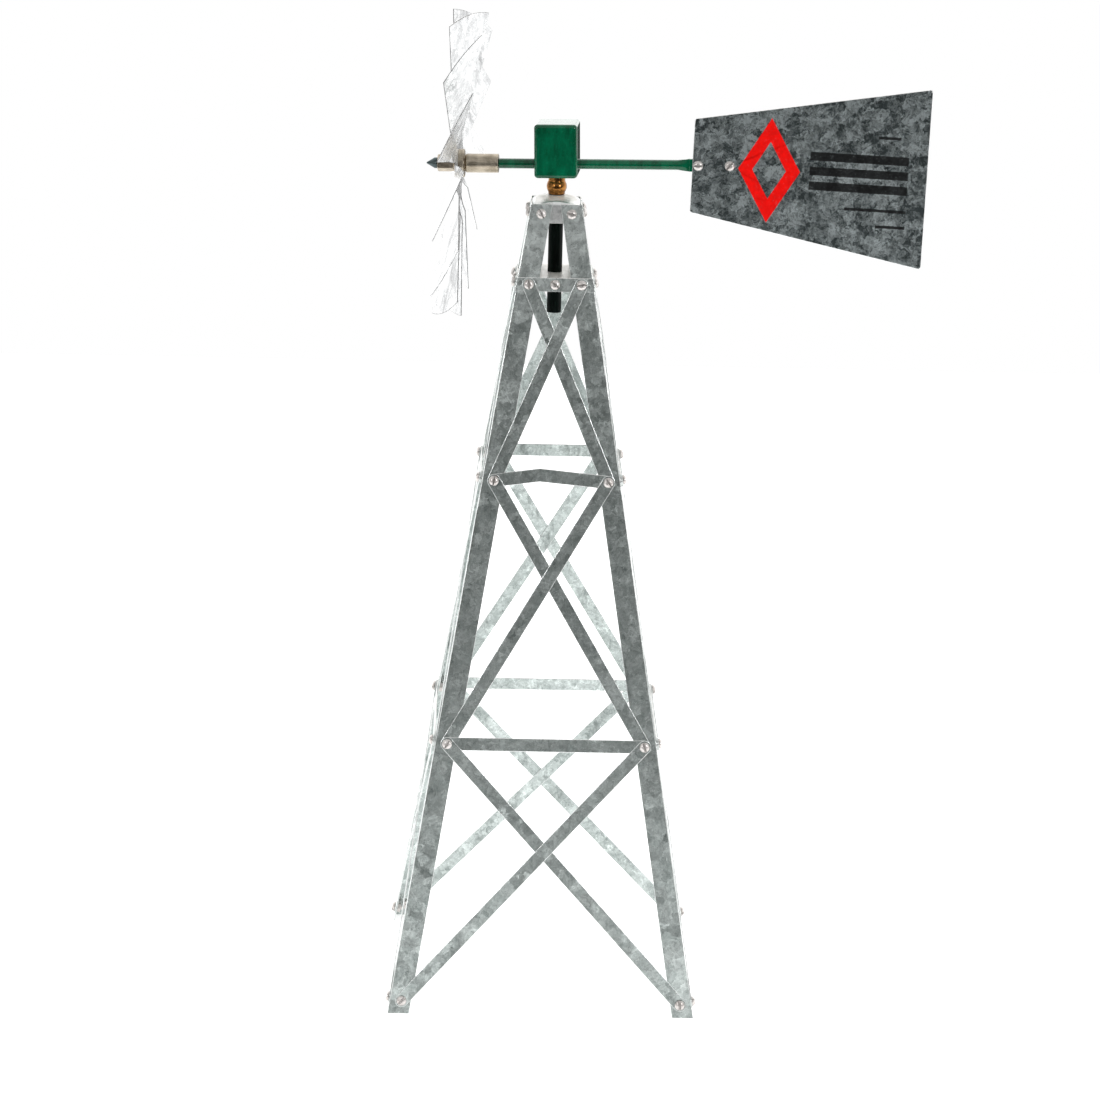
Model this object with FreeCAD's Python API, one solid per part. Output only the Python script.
import FreeCAD, Part
import math
import os

# Garden windmill: a four-legged sheet-metal tower with a swivelling head, a bladed wheel and a tail vane.
# Millimetres, +Z up. The origin is on the tower's axis at ground level, and -Y is the tower's front.

Vector = FreeCAD.Vector
Placement = FreeCAD.Placement
Rotation = FreeCAD.Rotation
X_AXIS = Vector(1, 0, 0)
Y_AXIS = Vector(0, 1, 0)
Z_AXIS = Vector(0, 0, 1)

# Tower: every face is a plane that leans inwards by the same batter
FOOT_HALF_WIDTH = 91.0
BATTER = 0.1597
LEG_FLANGE = 12.7
LEG_SHEET = 0.8
LEG_TOP_Z = 475.8
SCREW_EDGE = 6.95  # from a leg's outer corner to the screws

# Heights of the rows of screws
FOOT_Z = 7.9
LOW_Z = 160.4
MID_Z = 315.1
PLATFORM_Z = 429.4
CAP_Z = 470.3

# Straps
STRAP_WIDTH = 7.8
STRAP_SHEET = 0.6
STRAP_FLAT = 9.5  # from a strap's end screws to where it starts to bend
CROSS_RISE_UNDER = 0.3
CROSS_RISE_OVER = 1.0
GIRT_BOW = 3.7  # how far the front middle girt is bent upwards, edgeways
GIRT_BOW_SHARE = 0.4  # where it peaks, from its left end

# Cap and platform
CAP_SHEET = 0.8
CAP_TOP_Z = 479.7  # at the middle of its crown
CAP_CROWN_RADIUS = 36.0
CAP_BOTTOM_Z = 464.6
CAP_EDGE_RADIUS = 3.2
PLATFORM_SHEET = 0.6
PLATFORM_FLANGE = 8.0
PLATFORM_NOTCH_GAP = 0.3
FIT_GAP = 0.02

# Fasteners: small slotted pan-head machine screws with hexagon nuts
SCREW_RADIUS = 1.4
HOLE_RADIUS = 1.5
HEAD_RADIUS = 2.95
HEAD_HEIGHT = 1.9
HEAD_RIM = 0.9
SLOT_WIDTH = 1.0
SLOT_DEPTH = 0.9
SLOT_TURN = 47.0  # each slot stops at its own angle
NUT_FLATS = 5.6
NUT_HEIGHT = 2.2
THREAD_PAST_NUT = 0.9

# Swivel
TUBE_RADIUS = 4.25
TUBE_BORE_RADIUS = 3.05
TUBE_BOTTOM_Z = 409.0
SPINDLE_RADIUS = 3.0
SPINDLE_BOTTOM_Z = 413.0
SPINDLE_TOP_Z = 498.0
BALL_BOTTOM_Z = CAP_TOP_Z + 0.1
BALL_TOP_Z = 490.25
BALL_CENTRE_Z = 484.2
BALL_RADIUS = 5.95
BALL_COLLAR_RADIUS = 4.95

# Head: its own frame has x along the boom towards the tail and its origin where the rods' axis meets
# the swivel's
HEAD_AXIS_Z = 497.4
HEAD_YAW = -5.3
HEAD_RISE = 1.5  # the rods climb slightly towards the tail
BLOCK_SIDE = 25.4
BLOCK_BELOW = 6.9
BLOCK_HEIGHT = 31.8
BLOCK_EDGE_RADIUS = 2.2
ROD_RADIUS = 3.0
ROD_INSET = 8.0
BOOM_END = 106.5
BOOM_FLAT_START = 78.0
BOOM_FLAT_THICKNESS = 3.0
BOOM_FLAT_HEIGHT = 7.4
BOOM_TAPER = 7.0

# Tail vane, a trapezoid that droops a little on its two screws
VANE_SHEET = 0.7
VANE_START = 79.6
VANE_LENGTH = 137.3
VANE_NARROW = 55.4
VANE_WIDE = 106.5
VANE_DROOP = 3.1
VANE_CORNER_RADIUS = 1.6
VANE_SCREWS = (83.0, 101.5)

# Wheel and hub, measured along the rods' axis
HUB_BACK = -34.6
HUB_FLANGE_BACK = -54.7
WHEEL_BACK = -57.9
WHEEL_SHEET = 0.5
SPACER_FRONT = -60.9
HUB_NUT_FRONT = -70.5
HUB_FRONT = -69.6
NOSE_BACK = -70.8
NOSE_TIP = -77.2
HUB_RADIUS = 5.6
HUB_CHAMFER = 1.4
HUB_FLANGE_RADIUS = 8.3
HUB_THREAD_RADIUS = 3.2
HUB_BORE_RADIUS = 2.05
JOURNAL_RADIUS = 2.0
NOSE_RADIUS = 3.2
NOSE_CYLINDER = 1.6
NOSE_TIP_RADIUS = 0.35
NOSE_THREAD_RADIUS = 1.5
NOSE_THREAD_LENGTH = 3.4
SPACER_RADIUS = 5.4
HUB_NUT_FLATS = 8.9
WHEEL_RADIUS = 90.3
WHEEL_DISC_RADIUS = 22.5
WHEEL_PHASE = 7.5  # of the first blade, from the wheel's top towards the tower's front
BLADE_COUNT = 12
BLADE_GAP = 1.2
BLADE_TONGUE = 17.5  # the blade's flat end, inside the disc
BLADE_ROOT = 23.0
BLADE_TWIST_END = 33.0
BLADE_PITCH = 25.0
BLADE_LEAN = 7.5  # the wheel is bent, so that one blade leans towards the tail and the opposite one away
BLADE_LEAN_PHASE = 25.0  # where the blade that leans most is, measured like the wheel's phase

FACES = {"front": 0, "right": 90, "back": 180, "left": 270}
SLOPE_LENGTH = math.hypot(1.0, BATTER)  # of a face, for a unit of height


def export(node, shapes):
    """Write one node's solids to its own file."""
    shape = shapes[0] if len(shapes) == 1 else Part.makeCompound(shapes)
    shape.exportStep(f"parts/{node}.step")


def placed(shape, placement):
    """A copy of a shape, moved by a placement."""
    moved = shape.copy()
    moved.Placement = placement.multiply(moved.Placement)
    return moved


def polygon(points):
    """A flat face through points in order."""
    return Part.Face(Part.makePolygon([Vector(*p) for p in points] + [Vector(*points[0])]))


def cylinder(radius, low, high, axis=Z_AXIS):
    """A cylinder about an axis through the origin, from one distance along it to another."""
    return Part.makeCylinder(radius, high - low, axis * low, axis)


def half_width(z):
    """From the tower's axis to the outside of a leg's face at a height."""
    return FOOT_HALF_WIDTH - BATTER * z


def screw_reach(z):
    """From a face's centre line to its outer screws at a height."""
    return half_width(z) - SCREW_EDGE


def face_placement(turn):
    """From a face's own frame, x across, y up the slope and z outwards, to the tower's."""
    slope = Rotation(X_AXIS, 90 - math.degrees(math.atan(BATTER)))
    on_front = Placement(Vector(0, -FOOT_HALF_WIDTH, 0), slope)
    return Placement(Vector(), Rotation(Z_AXIS, turn)).multiply(on_front)


def face_point(x, z, rise=0.0):
    """The point of a face's own frame at a height of the tower."""
    return Vector(x, z * SLOPE_LENGTH, rise)


def frustum(low_z, high_z, inset=0.0):
    """A square block with the tower's batter, its sides set in from the outside of the legs."""
    rings = []
    for z in (low_z, high_z):
        w = half_width(z) - inset * SLOPE_LENGTH
        rings.append(Part.makePolygon([Vector(x * w, y * w, z) for x, y in
                                       ((-1, -1), (1, -1), (1, 1), (-1, 1), (-1, -1))]))
    return Part.makeLoft(rings, True, True)


def legs():
    """Four angle-section legs, each an L of sheet pulled along the tower's corner."""
    far, near, sheet = 0.0, LEG_FLANGE, LEG_SHEET * SLOPE_LENGTH
    section = polygon([(far, far, 0), (near, far, 0), (near, sheet, 0), (sheet, sheet, 0),
                       (sheet, near, 0), (far, near, 0)])
    leg = section.extrude(Vector(BATTER * LEG_TOP_Z, BATTER * LEG_TOP_Z, LEG_TOP_Z))
    leg.translate(Vector(-FOOT_HALF_WIDTH, -FOOT_HALF_WIDTH, 0))
    drills = []
    for z in (FOOT_Z, LOW_Z, MID_Z, PLATFORM_Z, CAP_Z):
        for turn, side in ((0, -1), (270, 1)):
            drill = cylinder(HOLE_RADIUS, -3, 3)
            drill.translate(face_point(side * screw_reach(z), z))
            drills.append(placed(drill, face_placement(turn)))
    leg = leg.cut(drills)
    corners = {"front_left": 0, "front_right": 90, "back_right": 180, "back_left": 270}
    return {f"leg_{name}": leg.rotated(Vector(), Z_AXIS, turn) for name, turn in corners.items()}


def strap(start, end, rises, bend_share=0.5):
    """A drilled strap with round ends between two screws of a face.

    rises gives how far its inner side stands off the face at the start, the bend and the end.
    """
    span = end - start
    length = span.Length
    margin = STRAP_WIDTH / 2
    bend = length * bend_share
    levels = ((-margin, STRAP_FLAT), (bend - margin, bend + margin), (length - STRAP_FLAT, length + margin))
    inner = [(x, 0, rise) for level, rise in zip(levels, rises) for x in level]
    outer = [(x, 0, rise + STRAP_SHEET) for x, _, rise in reversed(inner)]
    bent = polygon(inner + outer).extrude(Vector(0, STRAP_WIDTH, 0))
    bent.translate(Vector(0, -margin, 0))
    reach = max(abs(r) for r in rises) + 2
    outline = Part.makeBox(length, STRAP_WIDTH, 2 * reach, Vector(0, -margin, -reach))
    ends = [Part.makeCylinder(margin, 2 * reach, Vector(x, 0, -reach)) for x in (0, length)]
    holes = [Part.makeCylinder(HOLE_RADIUS, 2 * reach, Vector(x, 0, -reach)) for x in (0, length)]
    flat = bent.common(outline.fuse(ends)).cut(holes)
    turn = math.degrees(math.atan2(span.y, span.x))
    return placed(flat.Solids[0], Placement(start, Rotation(Z_AXIS, turn)))


def bowed_strap(start, end):
    """A drilled strap bent edgeways, so that it peaks between its screws; it lies over one other strap."""
    peak = start + (end - start) * GIRT_BOW_SHARE + Y_AXIS * GIRT_BOW
    lift = Z_AXIS * STRAP_SHEET
    margin = STRAP_WIDTH / 2
    pieces = [Part.makeCylinder(margin, STRAP_SHEET, spot + lift) for spot in (start, peak, end)]
    for a, b in ((start, peak), (peak, end)):
        run = b - a
        bar = Part.makeBox(run.Length, STRAP_WIDTH, STRAP_SHEET, Vector(0, -margin, 0))
        turn = math.degrees(math.atan2(run.y, run.x))
        pieces.append(placed(bar, Placement(a + lift, Rotation(Z_AXIS, turn))))
    holes = [Part.makeCylinder(HOLE_RADIUS, 3 * STRAP_SHEET, spot) for spot in (start, end)]
    flat = pieces[0].fuse(pieces[1:]).cut(holes).removeSplitter()
    return flat.Solids[0]


def girts():
    """The level straps round the tower, over the ends of the diagonals above them."""
    made = {}
    for level, z in (("mid", MID_Z), ("low", LOW_Z)):
        start, end = face_point(-screw_reach(z), z), face_point(screw_reach(z), z)
        for face, turn in FACES.items():
            if level == "mid" and face == "front":
                piece = bowed_strap(start, end)
            else:
                piece = strap(start, end, (STRAP_SHEET, STRAP_SHEET, STRAP_SHEET))
            made[f"girt_{level}_{face}"] = placed(piece, face_placement(turn))
    return made


def diagonals():
    """Two crossed straps in each panel of each face, named by where their upper end is."""
    panels = {
        "top": (MID_Z, PLATFORM_Z, PLATFORM_SHEET),
        "mid": (LOW_Z, MID_Z, 2 * STRAP_SHEET),
        "low": (FOOT_Z, LOW_Z, 2 * STRAP_SHEET),
    }
    made = {}
    for panel, (low_z, high_z, top_rise) in panels.items():
        low, high = screw_reach(low_z), screw_reach(high_z)
        share = low / (low + high)
        for face, turn in FACES.items():
            for side, sign, cross in (("right", 1, CROSS_RISE_OVER), ("left", -1, CROSS_RISE_UNDER)):
                piece = strap(face_point(-sign * low, low_z), face_point(sign * high, high_z),
                              (0.0, cross, top_rise), share)
                made[f"brace_{panel}_{face}_{side}"] = placed(piece, face_placement(turn))
    return made


def tower_cap():
    """The pressed cap inside the tops of the legs: a crowned top, soft shoulders and a hole for the tube."""
    cap = crowned_block(CAP_BOTTOM_Z, 0.0).cut(crowned_block(CAP_BOTTOM_Z - 1, CAP_SHEET))
    cap = cap.cut(cylinder(TUBE_RADIUS + FIT_GAP, CAP_BOTTOM_Z, CAP_TOP_Z + 1))
    return cap.cut(face_drills(CAP_Z, (-1, 1)))


def crowned_block(low_z, inset):
    """The cap's outside, or with its sheet as the inset its inside, as a solid block."""
    block = frustum(low_z, CAP_TOP_Z, LEG_SHEET + FIT_GAP + inset)
    crown = Part.makeSphere(CAP_CROWN_RADIUS - inset, Vector(0, 0, CAP_TOP_Z - CAP_CROWN_RADIUS))
    return soften(block.common(crown), low_z, CAP_EDGE_RADIUS - inset)


def soften(block, bottom_z, radius):
    """Round every edge of a frustum but those at its bottom."""
    return block.makeFillet(radius, [e for e in block.Edges if e.BoundBox.ZMax > bottom_z + 1])


def face_drills(z, places):
    """Cutters for the screw holes of one row, on all four faces; places are shares of the screw reach."""
    drills = []
    for turn in FACES.values():
        for place in places:
            drill = cylinder(HOLE_RADIUS, -4, 4)
            drill.translate(face_point(place * screw_reach(z), z))
            drills.append(placed(drill, face_placement(turn)))
    return drills


def platform():
    """The small tray whose turned-down rim wraps the legs; its floor is notched round them."""
    low_z = PLATFORM_Z - PLATFORM_FLANGE / 2
    high_z = PLATFORM_Z + PLATFORM_FLANGE / 2
    floor_z = high_z - PLATFORM_SHEET
    rim = frustum(low_z, high_z, -PLATFORM_SHEET).cut(frustum(low_z - 1, high_z + 1))
    floor = frustum(floor_z, high_z, -PLATFORM_SHEET / 2)
    w = half_width(high_z)
    # each notch starts outside the rim, so that no sliver of floor is left there
    past = 2 * PLATFORM_SHEET
    thick = past + LEG_SHEET * SLOPE_LENGTH + PLATFORM_NOTCH_GAP
    wide = past + LEG_FLANGE + PLATFORM_NOTCH_GAP
    notch = Part.makeBox(wide, thick, 4).fuse(Part.makeBox(thick, wide, 4))
    notch.translate(Vector(-w - past, -w - past, floor_z - 2))
    floor = floor.cut([notch.rotated(Vector(), Z_AXIS, turn) for turn in FACES.values()])
    tray = rim.fuse(floor).cut(cylinder(TUBE_RADIUS + FIT_GAP, low_z, high_z + 1))
    return tray.cut(face_drills(PLATFORM_Z, (-1, 0, 1))).removeSplitter()


def screw(grip, slot_angle):
    """A slotted pan-head screw along z; its head's underside is at zero."""
    profile = Part.Wire([
        Part.makeLine(Vector(0, 0, 0), Vector(HEAD_RADIUS, 0, 0)),
        Part.makeLine(Vector(HEAD_RADIUS, 0, 0), Vector(HEAD_RADIUS, 0, HEAD_RIM)),
        Part.Arc(Vector(HEAD_RADIUS, 0, HEAD_RIM), Vector(HEAD_RADIUS * 0.72, 0, HEAD_HEIGHT * 0.87),
                 Vector(0, 0, HEAD_HEIGHT)).toShape(),
        Part.makeLine(Vector(0, 0, HEAD_HEIGHT), Vector(0, 0, 0)),
    ])
    head = Part.Face(profile).revolve(Vector(), Z_AXIS, 360)
    tip = -(grip + NUT_HEIGHT + THREAD_PAST_NUT)
    body = head.fuse(cylinder(SCREW_RADIUS, tip, 0.1)).removeSplitter()
    slot = Part.makeBox(3 * HEAD_RADIUS, SLOT_WIDTH, SLOT_DEPTH + 1,
                        Vector(-1.5 * HEAD_RADIUS, -SLOT_WIDTH / 2, HEAD_HEIGHT - SLOT_DEPTH))
    return body.cut(slot.rotated(Vector(), Z_AXIS, slot_angle))


def hexagon_nut(flats, bore, low, high):
    """A hexagon nut about z, with its outer corners taken off at both ends."""
    corner = flats / math.sqrt(3)
    ring = [(corner * math.cos(math.radians(60 * i)), corner * math.sin(math.radians(60 * i)), low)
            for i in range(6)]
    body = polygon(ring).extrude(Vector(0, 0, high - low))
    bevel = 0.8 * (corner - flats / 2)
    barrel = cylinder(corner, low, high)
    barrel = barrel.makeChamfer(bevel, [e for e in barrel.Edges if len(e.Vertexes) == 1 and e.Closed])
    return body.common(barrel).cut(cylinder(bore, low - 1, high + 1))


def tower_fasteners():
    """The rows of screws with their nuts inside the leg faces; stack is the sheet outside a leg."""
    rows = {
        "foot": (FOOT_Z, STRAP_SHEET, 0.0, (-1, 1)),
        "low": (LOW_Z, 3 * STRAP_SHEET, 0.0, (-1, 1)),
        "mid": (MID_Z, 3 * STRAP_SHEET, 0.0, (-1, 1)),
        "platform": (PLATFORM_Z, PLATFORM_SHEET + STRAP_SHEET, 0.0, (-1, 0, 1)),
        "cap": (CAP_Z, 0.0, CAP_SHEET + FIT_GAP, (-1, 1)),
    }
    screws, nuts = {}, []
    count = 0
    for row, (z, stack, inside, places) in rows.items():
        made = []
        for turn in FACES.values():
            for place in places:
                middle = place == 0
                top = PLATFORM_SHEET if middle else stack
                under = 0.0 if middle else LEG_SHEET + inside
                count += 1
                spot = face_placement(turn).multiply(
                    Placement(face_point(place * screw_reach(z), z, top), Rotation()))
                made.append(placed(screw(top + under, SLOT_TURN * count), spot))
                nut = hexagon_nut(NUT_FLATS, SCREW_RADIUS, -(top + under + NUT_HEIGHT), -(top + under))
                nuts.append(placed(nut, spot))
        screws[f"screws_{row}"] = made
    return screws, nuts


def swivel_tube():
    """The tube that is fixed in the cap and the platform and carries the head's spindle."""
    tube = cylinder(TUBE_RADIUS, TUBE_BOTTOM_Z, CAP_TOP_Z)
    return tube.cut(cylinder(TUBE_BORE_RADIUS, TUBE_BOTTOM_Z - 1, CAP_TOP_Z + 1))


def swivel_ball():
    """The turned brass piece between the cap and the head block: a ball between two short collars."""
    half_height = math.sqrt(BALL_RADIUS ** 2 - BALL_COLLAR_RADIUS ** 2)
    bore = SPINDLE_RADIUS + FIT_GAP
    collar = BALL_COLLAR_RADIUS
    corners = [Vector(collar, 0, BALL_CENTRE_Z + half_height), Vector(collar, 0, BALL_TOP_Z),
               Vector(bore, 0, BALL_TOP_Z), Vector(bore, 0, BALL_BOTTOM_Z),
               Vector(collar, 0, BALL_BOTTOM_Z), Vector(collar, 0, BALL_CENTRE_Z - half_height)]
    edges = [Part.makeLine(a, b) for a, b in zip(corners, corners[1:])]
    edges.append(Part.Arc(corners[-1], Vector(BALL_RADIUS, 0, BALL_CENTRE_Z), corners[0]).toShape())
    return Part.Face(Part.Wire(edges)).revolve(Vector(), Z_AXIS, 360)


def swivel_spindle():
    """The pin that drops into the tube and lets the head turn."""
    pin = cylinder(SPINDLE_RADIUS, SPINDLE_BOTTOM_Z, SPINDLE_TOP_Z)
    return pin.makeChamfer(0.6, [e for e in pin.Edges if len(e.Vertexes) == 1 and e.Closed])


def head_placement():
    """From the head's own frame to the tower's."""
    turn = Rotation(Z_AXIS, HEAD_YAW).multiply(Rotation(Y_AXIS, -HEAD_RISE))
    return Placement(Vector(0, 0, HEAD_AXIS_Z), turn)


def head_block():
    """The solid block with softened edges, bored for both rods and the spindle."""
    half = BLOCK_SIDE / 2
    block = Part.makeBox(BLOCK_SIDE, BLOCK_SIDE, BLOCK_HEIGHT, Vector(-half, -half, -BLOCK_BELOW))
    block = block.makeFillet(BLOCK_EDGE_RADIUS, block.Edges)
    depth = half - ROD_INSET
    bore = ROD_RADIUS + FIT_GAP
    block = block.cut([cylinder(bore, depth, half + 1, X_AXIS), cylinder(bore, -half - 1, -depth, X_AXIS)])
    block = placed(block, head_placement())
    return block.cut(cylinder(SPINDLE_RADIUS + FIT_GAP, SPINDLE_TOP_Z - 20, SPINDLE_TOP_Z))


def axle():
    """The wheel's axle: a rod in the block, then a thinner journal and a threaded tip."""
    half = BLOCK_SIDE / 2
    rod = cylinder(ROD_RADIUS, HUB_BACK + 0.3, ROD_INSET - half, X_AXIS)
    journal = cylinder(JOURNAL_RADIUS, NOSE_BACK, HUB_BACK + 1, X_AXIS)
    tip = cylinder(NOSE_THREAD_RADIUS, NOSE_BACK - NOSE_THREAD_LENGTH, NOSE_BACK + 1, X_AXIS)
    return rod.fuse([journal, tip]).removeSplitter()


def nose():
    """The pointed cap on the axle's tip, which keeps the wheel on."""
    steps = [(0, NOSE_BACK), (NOSE_RADIUS, NOSE_BACK), (NOSE_RADIUS, NOSE_BACK - NOSE_CYLINDER),
             (NOSE_TIP_RADIUS, NOSE_TIP), (0, NOSE_TIP)]
    body = polygon([(x, 0, r) for r, x in steps]).revolve(Vector(), X_AXIS, 360)
    return body.cut(cylinder(NOSE_THREAD_RADIUS + FIT_GAP, NOSE_BACK - NOSE_THREAD_LENGTH - 0.2,
                             NOSE_BACK + 1, X_AXIS))


def tail_boom():
    """The rod behind the block, forged flat at its end for the vane."""
    round_end = Part.Wire(Part.makeCircle(ROD_RADIUS, Vector(BOOM_FLAT_START - BOOM_TAPER, 0, 0), X_AXIS))
    half_t, half_h = BOOM_FLAT_THICKNESS / 2, BOOM_FLAT_HEIGHT / 2
    blade = Part.makeBox(BOOM_END - BOOM_FLAT_START, BOOM_FLAT_THICKNESS, BOOM_FLAT_HEIGHT,
                         Vector(BOOM_FLAT_START, -half_t, -half_h))
    ends = [e for e in blade.Edges if abs(e.BoundBox.XLength) < 1e-6 and e.BoundBox.YLength > 1
            and e.BoundBox.XMin > BOOM_END - 1]
    blade = blade.makeFillet(half_h * 0.9, ends)
    flat_end = Part.makePolygon([Vector(BOOM_FLAT_START, y * half_t, z * half_h) for y, z in
                                 ((-1, -1), (1, -1), (1, 1), (-1, 1), (-1, -1))])
    squeeze = Part.makeLoft([round_end, flat_end], True, False)
    rod = cylinder(ROD_RADIUS, BLOCK_SIDE / 2 - ROD_INSET, BOOM_FLAT_START - BOOM_TAPER, X_AXIS)
    boom = rod.fuse([squeeze, blade])
    holes = [Part.makeCylinder(HOLE_RADIUS, 10, Vector(x, -5, 0), Y_AXIS) for x in VANE_SCREWS]
    return boom.cut(holes)


def vane_front():
    """Where the vane's outer side lies, towards the front of the tower."""
    return -(BOOM_FLAT_THICKNESS / 2 + VANE_SHEET)


def tail_vane():
    """The trapezoid of sheet on the front side of the boom's flat."""
    low, high = VANE_NARROW / 2, VANE_WIDE / 2
    outline = polygon([(0, 0, -low), (VANE_LENGTH, 0, -high), (VANE_LENGTH, 0, high), (0, 0, low)])
    sheet = outline.extrude(Vector(0, VANE_SHEET, 0))
    corners = [e for e in sheet.Edges if e.BoundBox.YLength > VANE_SHEET / 2 and e.BoundBox.XLength < 1e-6
               and e.BoundBox.ZLength < 1e-6]
    sheet = sheet.makeFillet(VANE_CORNER_RADIUS, corners)
    sheet = placed(sheet, Placement(Vector(VANE_START, vane_front(), 0), Rotation(Y_AXIS, VANE_DROOP)))
    holes = [Part.makeCylinder(HOLE_RADIUS, 10, Vector(x, -5, 0), Y_AXIS) for x in VANE_SCREWS]
    return sheet.cut(holes)


def vane_fasteners():
    """Two screws through the vane and the boom's flat, with their nuts behind."""
    grip = BOOM_FLAT_THICKNESS + VANE_SHEET
    screws, nuts = [], []
    for index, x in enumerate(VANE_SCREWS):
        spot = Placement(Vector(x, vane_front(), 0), Rotation(X_AXIS, 90))
        screws.append(placed(screw(grip, SLOT_TURN * index), spot))
        nuts.append(placed(hexagon_nut(NUT_FLATS, SCREW_RADIUS, -(grip + NUT_HEIGHT), -grip), spot))
    return screws, nuts


def hub_sleeve():
    """The wheel's bearing: a flanged sleeve with a threaded front that passes through the sheet."""
    steps = [(0, HUB_BACK), (HUB_RADIUS, HUB_BACK), (HUB_RADIUS, HUB_FLANGE_BACK + HUB_CHAMFER),
             (HUB_RADIUS - HUB_CHAMFER, HUB_FLANGE_BACK), (HUB_FLANGE_RADIUS, HUB_FLANGE_BACK),
             (HUB_FLANGE_RADIUS, WHEEL_BACK), (HUB_THREAD_RADIUS, WHEEL_BACK),
             (HUB_THREAD_RADIUS, HUB_FRONT), (0, HUB_FRONT)]
    body = polygon([(x, 0, r) for r, x in steps]).revolve(Vector(), X_AXIS, 360)
    return body.cut(cylinder(HUB_BORE_RADIUS, HUB_FRONT - 1, HUB_BACK + 1, X_AXIS))


def hub_spacer():
    """The thick washer between the wheel's sheet and its nut."""
    ring = cylinder(SPACER_RADIUS, SPACER_FRONT, WHEEL_BACK - WHEEL_SHEET, X_AXIS)
    ring = ring.makeChamfer(0.4, [e for e in ring.Edges if len(e.Vertexes) == 1 and e.Closed])
    return ring.cut(cylinder(HUB_THREAD_RADIUS + FIT_GAP, SPACER_FRONT - 1, WHEEL_BACK, X_AXIS))


def hub_nut():
    """The long hexagon nut that clamps the wheel against the sleeve's flange."""
    nut = hexagon_nut(HUB_NUT_FLATS, HUB_THREAD_RADIUS + FIT_GAP, 0, SPACER_FRONT - HUB_NUT_FRONT)
    return placed(nut, Placement(Vector(HUB_NUT_FRONT, 0, 0), Rotation(Y_AXIS, 90)))


def blade_point(r, across, rise, turn, lean):
    """A point of a blade: r out along it, across its width and rise off its middle surface.

    The blade starts flat in the disc, takes up its pitch by the end of the twist, and leans as it goes out.
    """
    twist = min(max((r - BLADE_ROOT) / (BLADE_TWIST_END - BLADE_ROOT), 0.0), 1.0)
    pitch = math.radians(BLADE_PITCH * twist)
    leaning = math.radians(lean)
    beyond = max(r - BLADE_ROOT, 0.0)
    bent = leaning if beyond else 0.0
    # axial is towards the tail, radial outwards, round is the way of a right-handed turn about x
    axial = beyond * math.sin(leaning)
    radial = min(r, BLADE_ROOT) + beyond * math.cos(leaning)
    off = -across * math.sin(pitch) + rise * math.cos(pitch)
    round_way = across * math.cos(pitch) + rise * math.sin(pitch)
    axial += off * math.cos(bent)
    radial -= off * math.sin(bent)
    out = Vector(0, -math.sin(turn), math.cos(turn))
    along = X_AXIS.cross(out)
    return X_AXIS * axial + out * radial + along * round_way


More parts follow.
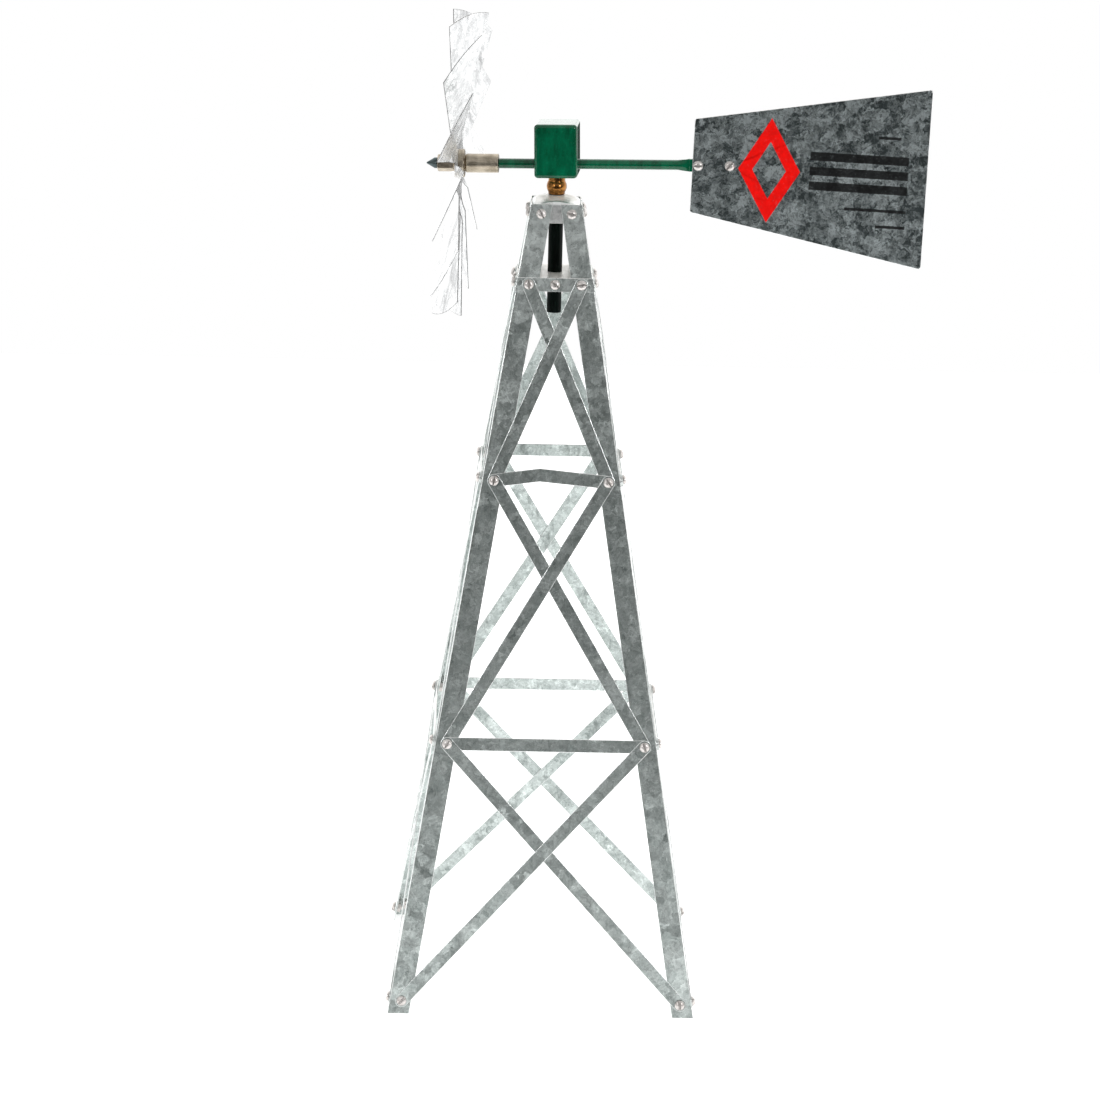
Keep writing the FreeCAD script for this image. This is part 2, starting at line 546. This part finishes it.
def blade(turn, lean):
    """One blade: a twisting root, then a flat sector with a round rim."""
    half_angle = math.pi / BLADE_COUNT
    half_t = WHEEL_SHEET / 2

    def half_chord(r):
        return r * math.tan(half_angle) - BLADE_GAP / 2

    def section(r):
        w = half_chord(r)
        return Part.makePolygon([blade_point(r, a * w, t * half_t, turn, lean) for a, t in
                                 ((-1, -1), (1, -1), (1, 1), (-1, 1), (-1, -1))])

    middle = (BLADE_ROOT + BLADE_TWIST_END) / 2
    tongue = Part.makeLoft([section(r) for r in (BLADE_TONGUE, BLADE_ROOT)], True, True)
    root = Part.makeLoft([section(r) for r in (BLADE_ROOT, middle, BLADE_TWIST_END)], True, True)

    def side(t):
        w_in = half_chord(BLADE_TWIST_END)
        edge = WHEEL_RADIUS * math.cos(half_angle)
        w_out = half_chord(edge)
        inner = [blade_point(BLADE_TWIST_END, a * w_in, t, turn, lean) for a in (-1, 1)]
        outer = [blade_point(edge, a * w_out, t, turn, lean) for a in (-1, 1)]
        crown = blade_point(WHEEL_RADIUS, 0, t, turn, lean)
        wire = Part.Wire([Part.makeLine(inner[0], outer[0]),
                          Part.Arc(outer[0], crown, outer[1]).toShape(),
                          Part.makeLine(outer[1], inner[1]), Part.makeLine(inner[1], inner[0])])
        return Part.Face(wire)

    crown_back, crown_front = (blade_point(WHEEL_RADIUS, 0, t, turn, lean) for t in (half_t, -half_t))
    return [tongue, root, side(-half_t).extrude(crown_back - crown_front)]


def wheel():
    """The wheel, cut and twisted from one disc of sheet."""
    middle = WHEEL_BACK - WHEEL_SHEET / 2
    disc = cylinder(WHEEL_DISC_RADIUS, -WHEEL_SHEET / 2, WHEEL_SHEET / 2, X_AXIS)
    pieces = []
    for index in range(BLADE_COUNT):
        turn = math.radians(WHEEL_PHASE) + 2 * math.pi * index / BLADE_COUNT
        lean = BLADE_LEAN * math.cos(turn - math.radians(BLADE_LEAN_PHASE))
        pieces += blade(turn, lean)
    sheet = disc.fuse(pieces)
    sheet.translate(X_AXIS * middle)
    return sheet.cut(cylinder(HUB_THREAD_RADIUS + FIT_GAP, middle - 2, middle + 2, X_AXIS))


def main():
    os.makedirs("parts", exist_ok=True)
    for group in (legs(), girts(), diagonals()):
        for node, shape in group.items():
            export(node, [shape])
    export("tower_cap", [tower_cap()])
    export("platform", [platform()])
    export("swivel_tube", [swivel_tube()])
    screws, nuts = tower_fasteners()
    for node, shapes in screws.items():
        export(node, shapes)
    export("tower_nuts", nuts)

    export("swivel_ball", [swivel_ball()])
    export("swivel_spindle", [swivel_spindle()])
    export("head_block", [head_block()])
    at_head = head_placement()
    head = {"axle": axle(), "axle_nose": nose(), "tail_boom": tail_boom(), "tail_vane": tail_vane(),
            "wheel": wheel(), "hub_sleeve": hub_sleeve(), "hub_spacer": hub_spacer(), "hub_nut": hub_nut()}
    for node, shape in head.items():
        export(node, [placed(shape, at_head)])
    for node, shapes in zip(("vane_screws", "vane_nuts"), vane_fasteners()):
        export(node, [placed(shape, at_head) for shape in shapes])


main()
